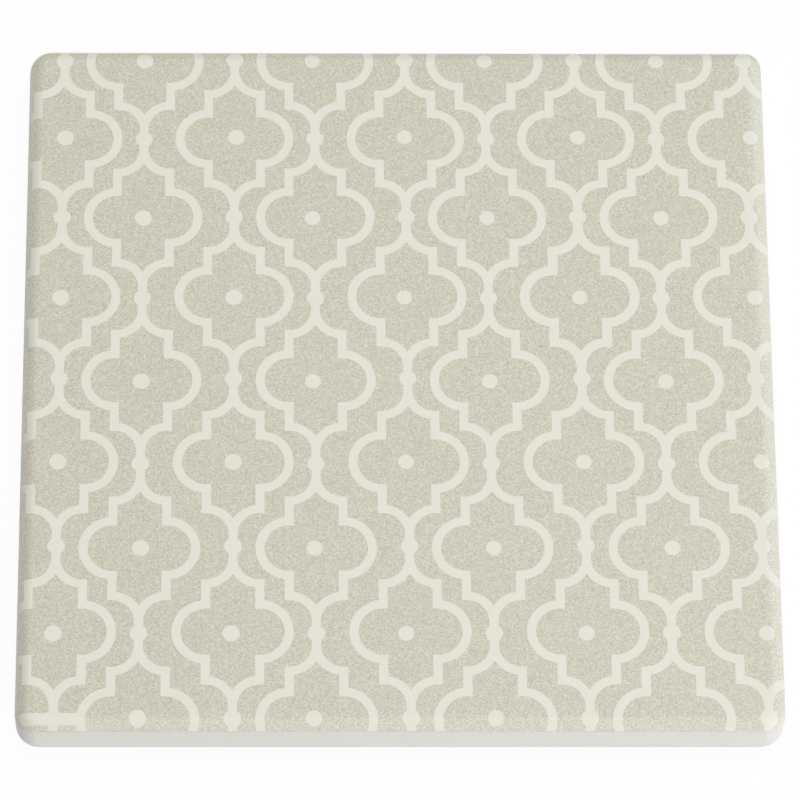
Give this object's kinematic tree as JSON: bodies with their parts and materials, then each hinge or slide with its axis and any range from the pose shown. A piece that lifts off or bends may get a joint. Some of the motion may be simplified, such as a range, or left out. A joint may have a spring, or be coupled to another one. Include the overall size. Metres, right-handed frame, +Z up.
{
  "type": "ceramic coaster",
  "caption": "Square ceramic coaster with rounded corners, a sage printed face with a cream quatrefoil trellis and dots, and a glued cork pad underneath.",
  "frame": {"origin": "middle of the cork pad's underside, which stands on the table", "axes": "+Z up through the printed face, +X to the right and +Y away from the viewer in the picture"},
  "size_m": [0.1, 0.1, 0.008],
  "materials": {
    "ceramic": "satin",
    "ground_ink": "satin",
    "line_ink": "satin",
    "adhesive": "satin",
    "cork": "matte"
  },
  "bodies": {
    "root": {"cork_pad": "cork", "adhesive_film": "adhesive", "ceramic_tile": "ceramic", "printed_ground": "ground_ink", "trellis_column_1": "line_ink", "trellis_column_2": "line_ink", "trellis_column_3": "line_ink", "trellis_column_4": "line_ink", "trellis_column_5": "line_ink", "trellis_column_6": "line_ink", "trellis_column_7": "line_ink", "trellis_column_8": "line_ink", "trellis_column_9": "line_ink", "cell_dot_1_1": "line_ink", "cell_dot_1_2": "line_ink", "cell_dot_1_3": "line_ink", "cell_dot_1_4": "line_ink", "cell_dot_2_1": "line_ink", "cell_dot_2_2": "line_ink", "cell_dot_2_3": "line_ink", "cell_dot_2_4": "line_ink", "cell_dot_2_5": "line_ink", "cell_dot_3_1": "line_ink", "cell_dot_3_2": "line_ink", "cell_dot_3_3": "line_ink", "cell_dot_3_4": "line_ink", "cell_dot_4_1": "line_ink", "cell_dot_4_2": "line_ink", "cell_dot_4_3": "line_ink", "cell_dot_4_4": "line_ink", "cell_dot_4_5": "line_ink", "cell_dot_5_1": "line_ink", "cell_dot_5_2": "line_ink", "cell_dot_5_3": "line_ink", "cell_dot_5_4": "line_ink", "cell_dot_6_1": "line_ink", "cell_dot_6_2": "line_ink", "cell_dot_6_3": "line_ink", "cell_dot_6_4": "line_ink", "cell_dot_6_5": "line_ink", "cell_dot_7_1": "line_ink", "cell_dot_7_2": "line_ink", "cell_dot_7_3": "line_ink", "cell_dot_7_4": "line_ink", "cell_dot_8_1": "line_ink", "cell_dot_8_2": "line_ink", "cell_dot_8_3": "line_ink", "cell_dot_8_4": "line_ink", "cell_dot_8_5": "line_ink", "cell_dot_9_1": "line_ink", "cell_dot_9_2": "line_ink", "cell_dot_9_3": "line_ink", "cell_dot_9_4": "line_ink"}
  },
  "joints": []
}
